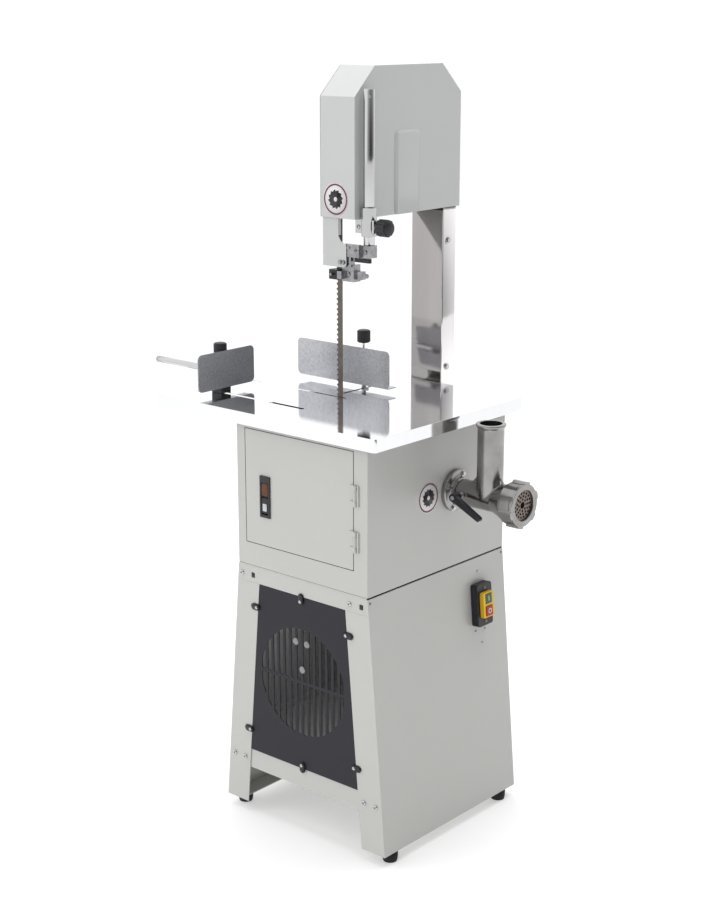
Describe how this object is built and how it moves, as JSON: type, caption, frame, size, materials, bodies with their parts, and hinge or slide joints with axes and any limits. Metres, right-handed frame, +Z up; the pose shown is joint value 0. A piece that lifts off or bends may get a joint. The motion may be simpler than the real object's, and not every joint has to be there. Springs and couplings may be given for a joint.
{
  "type": "butcher band saw with grinder",
  "caption": "Floor-standing butcher's band saw: sheet-steel stand and cabinet, stainless table, tall head with guarded blade, sliding pusher and fence, side-mounted meat grinder.",
  "frame": {"origin": "bottom centre of the whole object's bounding box, on the floor", "axes": "+Z up, -Y is the front with the cabinet door, +X is the grinder and switch side, -X is where the operator feeds the table"},
  "size_m": [0.759, 0.523, 1.484],
  "materials": {
    "cabinet_paint": "satin powder coat, warm off-white",
    "head_paint": "satin powder coat, light grey",
    "panel_paint": "textured charcoal powder coat",
    "table_steel": "polished stainless sheet",
    "column_steel": "mirror polished stainless",
    "plate_steel": "mottled satin stainless",
    "bright_steel": "ground and plated bar",
    "dark_steel": "oiled brown-grey spring steel",
    "grinder_metal": "tinned and buffed casting",
    "machine_iron": "grey iron, machined faces",
    "black_plastic": "moulded, fine grain",
    "rubber": "moulded rubber",
    "belt_rubber": "fabric-faced belt rubber",
    "yellow_plastic": "moulded, satin",
    "green_plastic": "moulded, semi-gloss",
    "red_plastic": "moulded, semi-gloss",
    "bronze_plastic": "metallic brown",
    "motor_paint": "dark grey enamel"
  },
  "bodies": {
    "frame": {"stand_side_left": "cabinet_paint", "stand_side_right": "cabinet_paint", "stand_rail_top": "cabinet_paint", "stand_rail_bottom": "cabinet_paint", "stand_back_panel": "cabinet_paint", "grille_panel": "panel_paint", "motor_shelf": "cabinet_paint", "foot_front_left": "rubber", "foot_front_right": "rubber", "foot_back_left": "rubber", "foot_back_right": "rubber", "cabinet_shell": "cabinet_paint", "door_hinge_upper": "cabinet_paint", "door_hinge_lower": "cabinet_paint", "wheel_housing": "cabinet_paint", "column": "column_steel", "head_shell": "head_paint", "saw_blade": "dark_steel", "shaft_housing": "machine_iron", "drive_belt": "belt_rubber", "motor_body": "motor_paint", "table_top": "table_steel", "lower_blade_guide": "black_plastic", "post_clamp": "plate_steel", "grinder_flange": "grinder_metal", "grinder_body": "grinder_metal", "grinder_plate": "plate_steel", "switch_plate": "black_plastic", "switch_box": "yellow_plastic"},
    "door": {"cabinet_door": "cabinet_paint", "latch_frame": "black_plastic"},
    "latch_button": {"latch_button": "bronze_plastic"},
    "latch_lever": {"latch_lever": "bright_steel"},
    "head_cover": {"head_cover": "head_paint"},
    "lower_drive": {"drive_shaft": "plate_steel", "lower_wheel": "machine_iron", "shaft_pulley": "machine_iron"},
    "motor_pulley": {"motor_pulley": "machine_iron"},
    "grinder_drive": {"grinder_gear": "machine_iron", "auger": "grinder_metal", "grinder_knife": "plate_steel"},
    "tension_carriage": {"tension_carriage": "machine_iron"},
    "tension_screw": {"tension_screw": "plate_steel"},
    "upper_wheel": {"upper_wheel": "machine_iron"},
    "pusher": {"pusher_plate": "plate_steel", "pusher_block": "black_plastic", "pusher_handle": "bright_steel"},
    "pusher_knob": {"pusher_knob": "black_plastic"},
    "fence": {"fence_plate": "plate_steel"},
    "fence_knob": {"fence_knob": "black_plastic"},
    "blade_guide": {"guide_post": "bright_steel", "guide_block": "plate_steel", "guide_pad": "black_plastic", "blade_guard": "head_paint"},
    "guide_lever": {"guide_lever": "black_plastic"},
    "post_knob": {"post_knob": "black_plastic"},
    "ring_nut": {"ring_nut": "grinder_metal"},
    "grinder_lever": {"grinder_lever": "black_plastic"},
    "start_button": {"start_button": "green_plastic"},
    "stop_button": {"stop_button": "red_plastic"}
  },
  "joints": [
    {"name": "drive_spin", "type": "hinge", "parent": "frame", "child": "lower_drive", "pos_m": [-0.0325, 0.0885, 0.689], "axis": [1, 0, 0], "continuous": true},
    {"name": "motor_spin", "type": "hinge", "parent": "frame", "child": "motor_pulley", "pos_m": [0.1165, 0.0235, 0.325], "axis": [1, 0, 0], "continuous": true},
    {"name": "grinder_spin", "type": "hinge", "parent": "frame", "child": "grinder_drive", "pos_m": [0.2325, 0.0105, 0.689], "axis": [1, 0, 0], "continuous": true},
    {"name": "blade_tension", "type": "slide", "parent": "frame", "child": "tension_carriage", "axis": [0, 0, 1], "range_m": [-0.004, 0]},
    {"name": "upper_spin", "type": "hinge", "parent": "tension_carriage", "child": "upper_wheel", "pos_m": [-0.0325, 0.0885, 1.339], "axis": [1, 0, 0], "continuous": true},
    {"name": "tension_screw_turn", "type": "hinge", "parent": "frame", "child": "tension_screw", "pos_m": [0.0105, 0.0885, 1.207], "axis": [0, 0, 1], "range_deg": [-960, 0]},
    {"name": "guide_height", "type": "slide", "parent": "frame", "child": "blade_guide", "axis": [0, 0, 1], "range_m": [-0.215, 0]},
    {"name": "guide_lever_turn", "type": "hinge", "parent": "blade_guide", "child": "guide_lever", "pos_m": [0.0445, -0.0445, 1.1215], "axis": [0, 0, 1], "range_deg": [0, 60]},
    {"name": "post_knob_turn", "type": "hinge", "parent": "frame", "child": "post_knob", "pos_m": [0.0715, -0.0395, 1.1865], "axis": [1, 0, 0], "range_deg": [-180, 180]},
    {"name": "pusher_slide", "type": "slide", "parent": "frame", "child": "pusher", "axis": [1, 0, 0], "range_m": [-0.055, 0.205]},
    {"name": "pusher_knob_turn", "type": "hinge", "parent": "pusher", "child": "pusher_knob", "pos_m": [-0.2425, -0.166, 0.935], "axis": [0, 0, 1], "range_deg": [-180, 180]},
    {"name": "fence_slide", "type": "slide", "parent": "frame", "child": "fence", "axis": [0, 1, 0], "range_m": [-0.058, 0.042]},
    {"name": "fence_knob_turn", "type": "hinge", "parent": "fence", "child": "fence_knob", "pos_m": [-0.0495, 0.0475, 0.948], "axis": [0, 0, 1], "range_deg": [-180, 180]},
    {"name": "door_hinge", "type": "hinge", "parent": "frame", "child": "door", "pos_m": [0.1855, -0.2488, 0.695], "axis": [0, 0, 1], "range_deg": [0, 110]},
    {"name": "latch_press", "type": "slide", "parent": "door", "child": "latch_button", "axis": [0, 1, 0], "range_m": [0, 0.003], "stiffness_N_per_m": 500},
    {"name": "latch_lever_turn", "type": "hinge", "parent": "door", "child": "latch_lever", "pos_m": [-0.0445, -0.2454, 0.6515], "axis": [1, 0, 0], "range_deg": [0, 35], "stiffness_Nm_per_rad": 0.06},
    {"name": "head_cover_hinge", "type": "hinge", "parent": "frame", "child": "head_cover", "pos_m": [-0.0655, 0.2615, 1.335], "axis": [0, 0, 1], "range_deg": [-110, 0]},
    {"name": "ring_nut_turn", "type": "hinge", "parent": "frame", "child": "ring_nut", "pos_m": [0.3615, 0.0105, 0.689], "axis": [1, 0, 0], "continuous": true},
    {"name": "grinder_lever_turn", "type": "hinge", "parent": "frame", "child": "grinder_lever", "pos_m": [0.2525, -0.0365, 0.692], "axis": [0, 1, 0], "range_deg": [-90, 25]},
    {"name": "start_press", "type": "slide", "parent": "frame", "child": "start_button", "axis": [0.9963, 0, 0.0856], "range_m": [-0.003, 0], "stiffness_N_per_m": 400},
    {"name": "stop_press", "type": "slide", "parent": "frame", "child": "stop_button", "axis": [0.9963, 0, 0.0856], "range_m": [-0.003, 0], "stiffness_N_per_m": 400}
  ],
  "couplings": [
    {"joint": "motor_spin", "follows": "drive_spin", "ratio": 1.651},
    {"joint": "grinder_spin", "follows": "drive_spin", "ratio": -0.3},
    {"joint": "upper_spin", "follows": "drive_spin", "ratio": 1},
    {"joint": "tension_screw_turn", "follows": "blade_tension", "rad_per_m": 4188.8}
  ]
}
